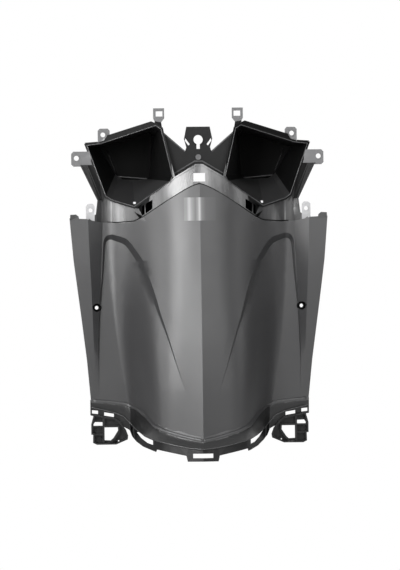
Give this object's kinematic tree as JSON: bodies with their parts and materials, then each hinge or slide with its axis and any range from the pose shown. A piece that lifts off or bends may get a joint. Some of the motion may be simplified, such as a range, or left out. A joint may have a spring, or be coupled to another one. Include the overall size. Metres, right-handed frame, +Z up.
{
  "type": "scooter inner panel",
  "caption": "Moulded inner leg-shield panel of a scooter: ridged shield with pressed-in side hollows, open storage pockets above and fixing tabs and clip slots round its edge.",
  "frame": {"origin": "midway between the two side screw holes, on the face of their seats", "axes": "+X to the right as the rider sees it, +Y away from the rider into the scooter, +Z up along the panel"},
  "size_m": [0.4132, 0.2, 0.563],
  "materials": {
    "panel_plastic": "fine-grained satin black"
  },
  "bodies": {
    "root": {"inner_panel": "panel_plastic"}
  },
  "joints": []
}
